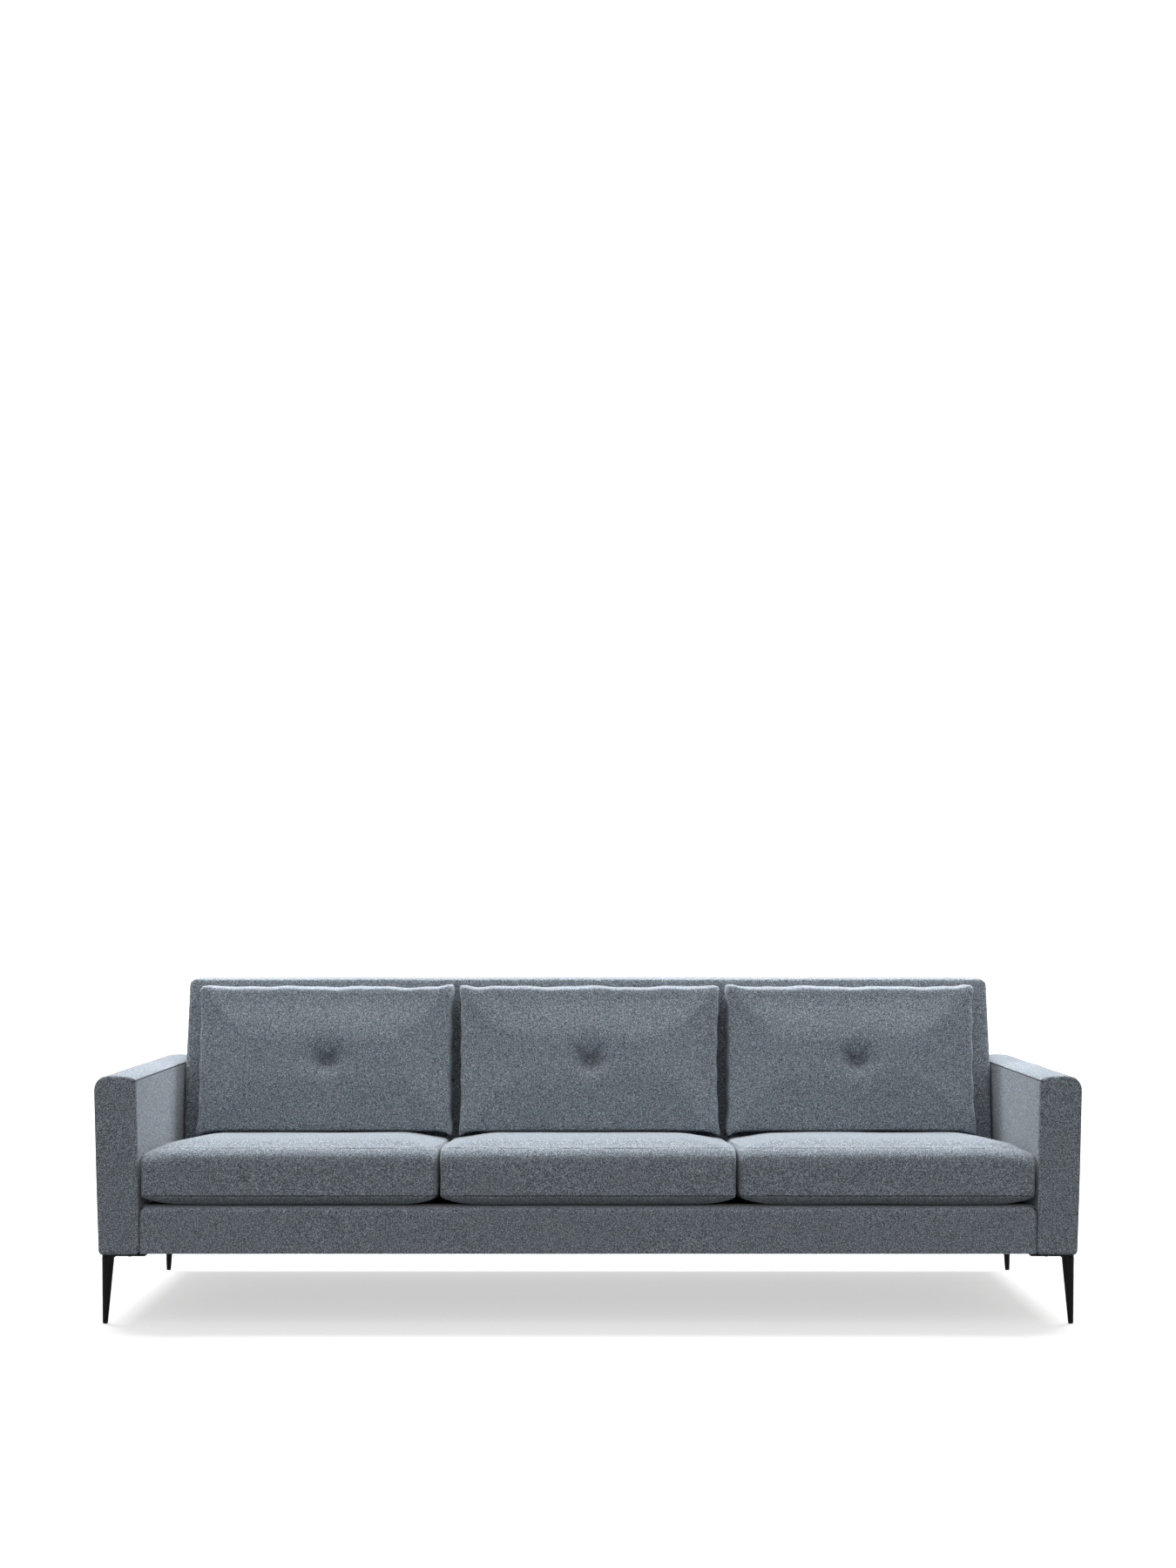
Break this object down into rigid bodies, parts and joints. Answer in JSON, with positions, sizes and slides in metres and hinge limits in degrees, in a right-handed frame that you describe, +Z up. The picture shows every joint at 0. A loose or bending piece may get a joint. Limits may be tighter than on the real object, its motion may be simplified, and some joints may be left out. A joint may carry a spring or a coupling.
{
  "type": "sofa",
  "caption": "Low upholstered sofa with slim slab arms, loose boxed seat cushions, loose tufted back cushions and tapered black metal legs.",
  "frame": {"origin": "on the floor under the middle of the sofa's bounding box", "axes": "+X to the right of someone facing the sofa, along its width; +Y towards its back; +Z up"},
  "size_m": [2.4, 0.87, 0.827],
  "materials": {
    "cushion_cloth": "melange woven wool blend",
    "body_cloth": "melange woven wool blend",
    "platform_cloth": "dark plain weave over felt",
    "dust_cloth": "black spunbonded sheet",
    "elastic_webbing": "black elastic webbing",
    "black_leg_coat": "satin black powder coat",
    "glide_plastic": "black moulded plastic",
    "zinc_steel": "bright zinc plate",
    "timber": "planed softwood",
    "plywood": "raw birch plywood",
    "hardboard": "smooth brown hardboard"
  },
  "bodies": {
    "frame": {"apron_cover": "body_cloth", "arm_bolt_front_left": "zinc_steel", "arm_bolt_front_right": "zinc_steel", "arm_bolt_rear_left": "zinc_steel", "arm_bolt_rear_right": "zinc_steel", "arm_bottom_rail_left": "timber", "arm_bottom_rail_right": "timber", "arm_cover_left": "body_cloth", "arm_cover_right": "body_cloth", "arm_front_post_left": "timber", "arm_front_post_right": "timber", "arm_middle_post_left": "timber", "arm_middle_post_right": "timber", "arm_rear_post_left": "timber", "arm_rear_post_right": "timber", "arm_top_rail_left": "timber", "arm_top_rail_right": "timber", "back_cover": "body_cloth", "back_panel": "hardboard", "back_rib_inner_left": "plywood", "back_rib_inner_right": "plywood", "back_rib_outer_left": "plywood", "back_rib_outer_right": "plywood", "back_top_rail": "timber", "dust_cover": "dust_cloth", "foot_glide_front_left": "glide_plastic", "foot_glide_front_right": "glide_plastic", "foot_glide_rear_left": "glide_plastic", "foot_glide_rear_right": "glide_plastic", "leg_front_left": "black_leg_coat", "leg_front_right": "black_leg_coat", "leg_rear_left": "black_leg_coat", "leg_rear_right": "black_leg_coat", "leg_screw_front_left_1": "zinc_steel", "leg_screw_front_left_2": "zinc_steel", "leg_screw_front_right_1": "zinc_steel", "leg_screw_front_right_2": "zinc_steel", "leg_screw_rear_left_1": "zinc_steel", "leg_screw_rear_left_2": "zinc_steel", "leg_screw_rear_right_1": "zinc_steel", "leg_screw_rear_right_2": "zinc_steel", "seat_cross_rail_left": "timber", "seat_cross_rail_right": "timber", "seat_deck": "platform_cloth", "seat_end_rail_left": "timber", "seat_end_rail_right": "timber", "seat_front_rail": "timber", "seat_rear_rail": "timber", "seat_webbing_centre": "elastic_webbing", "seat_webbing_left": "elastic_webbing", "seat_webbing_right": "elastic_webbing"},
    "seat_cushion_left": {"seat_cushion_left": "cushion_cloth"},
    "back_cushion_left": {"back_cushion_left": "cushion_cloth", "tuft_button_left": "cushion_cloth"},
    "seat_cushion_centre": {"seat_cushion_centre": "cushion_cloth"},
    "back_cushion_centre": {"back_cushion_centre": "cushion_cloth", "tuft_button_centre": "cushion_cloth"},
    "seat_cushion_right": {"seat_cushion_right": "cushion_cloth"},
    "back_cushion_right": {"back_cushion_right": "cushion_cloth", "tuft_button_right": "cushion_cloth"}
  },
  "joints": [
    {"name": "seat_cushion_left_lift", "type": "slide", "parent": "frame", "child": "seat_cushion_left", "axis": [0, 0, 1], "range_m": [0, 0.45]},
    {"name": "back_cushion_left_lift", "type": "slide", "parent": "seat_cushion_left", "child": "back_cushion_left", "axis": [0, 0, 1], "range_m": [0, 0.42]},
    {"name": "seat_cushion_centre_lift", "type": "slide", "parent": "frame", "child": "seat_cushion_centre", "axis": [0, 0, 1], "range_m": [0, 0.45]},
    {"name": "back_cushion_centre_lift", "type": "slide", "parent": "seat_cushion_centre", "child": "back_cushion_centre", "axis": [0, 0, 1], "range_m": [0, 0.42]},
    {"name": "seat_cushion_right_lift", "type": "slide", "parent": "frame", "child": "seat_cushion_right", "axis": [0, 0, 1], "range_m": [0, 0.45]},
    {"name": "back_cushion_right_lift", "type": "slide", "parent": "seat_cushion_right", "child": "back_cushion_right", "axis": [0, 0, 1], "range_m": [0, 0.42]}
  ]
}
